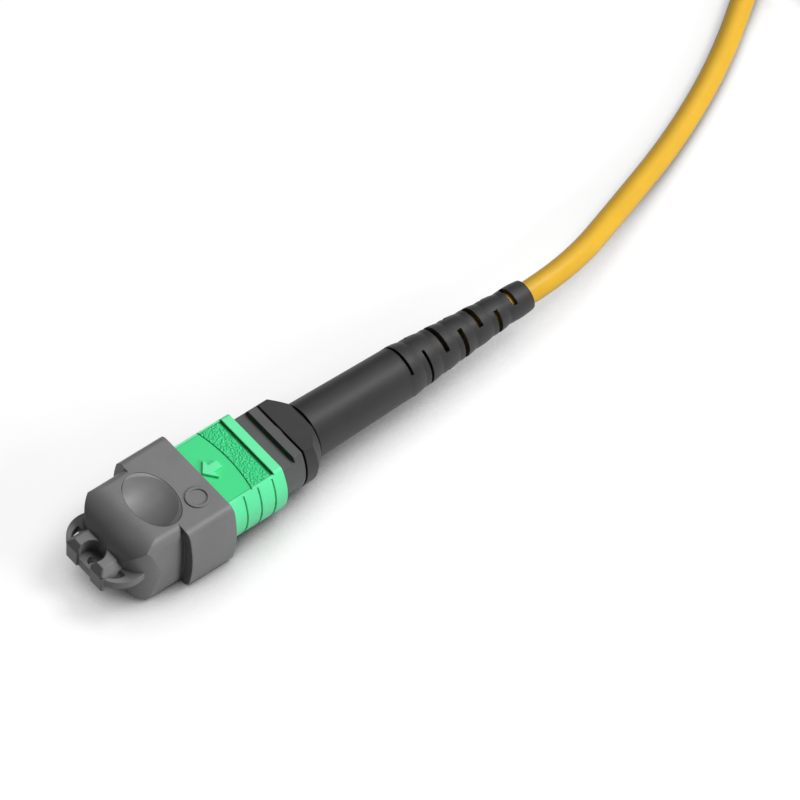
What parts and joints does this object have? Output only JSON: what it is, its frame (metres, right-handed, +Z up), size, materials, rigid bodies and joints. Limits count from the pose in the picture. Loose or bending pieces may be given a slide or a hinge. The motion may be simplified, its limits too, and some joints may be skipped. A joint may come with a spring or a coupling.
{
  "type": "mpo fibre connector",
  "caption": "Push-pull multi-fibre optical plug with sprung coupling sleeve, floating ferrule, slotted strain relief boot, pull-off dust cap and a coiled cable tail.",
  "frame": {"origin": "on the floor under the middle of the connector, without its free cable", "axes": "+X along the plug towards its mating face and the dust cap, +Z up, key side up, +Y to the left of the plug seen from behind"},
  "size_m": [0.1707, 0.0432, 0.0099],
  "materials": {
    "cap_grey": "fine satin, moulded",
    "sleeve_green": "satin, moulded",
    "plug_green": "satin, moulded",
    "ferrule_black": "glass filled, matt",
    "pin_steel": "ground and polished",
    "clamp_steel": "pressed",
    "spring_steel": "drawn wire",
    "rubber_grey": "matt",
    "ribbon_clear": "coated ribbon",
    "backbone_black": "satin, moulded",
    "yarn_yellow": "yarn",
    "crimp_metal": "turned, plated",
    "boot_black": "satin",
    "jacket_yellow": "smooth jacket",
    "tie_black": "woven hook band",
    "fibre_coat": "coloured coating"
  },
  "bodies": {
    "plug": {"inner_housing": "plug_green", "main_spring": "spring_steel", "sleeve_spring_left": "spring_steel", "sleeve_spring_right": "spring_steel", "backbone": "backbone_black", "aramid_yarn": "yarn_yellow", "crimp_ring": "crimp_metal", "boot": "boot_black", "cable_stub": "jacket_yellow", "cable": "jacket_yellow", "cable_coil": "jacket_yellow", "coil_tie": "tie_black", "tail_yarn": "yarn_yellow", "tail_fibres": "fibre_coat"},
    "cap": {"dust_cap": "cap_grey"},
    "sleeve": {"coupling_sleeve": "sleeve_green"},
    "ferrule": {"mt_ferrule": "ferrule_black", "guide_pin_left": "pin_steel", "guide_pin_right": "pin_steel", "pin_clamp": "clamp_steel", "ferrule_boot": "rubber_grey", "fibre_ribbon": "ribbon_clear"}
  },
  "joints": [
    {"name": "cap_pull", "type": "slide", "parent": "plug", "child": "cap", "axis": [1, 0, 0], "range_m": [0, 0.018]},
    {"name": "sleeve_slide", "type": "slide", "parent": "plug", "child": "sleeve", "axis": [-1, 0, 0], "range_m": [0, 0.0016], "stiffness_N_per_m": 1500, "springref_m": -0.0015, "deforming": ["sleeve_spring_left", "sleeve_spring_right"]},
    {"name": "ferrule_float", "type": "slide", "parent": "plug", "child": "ferrule", "axis": [-1, 0, 0], "range_m": [0, 0.0008], "stiffness_N_per_m": 3000, "springref_m": -0.0033, "deforming": ["main_spring"]}
  ]
}
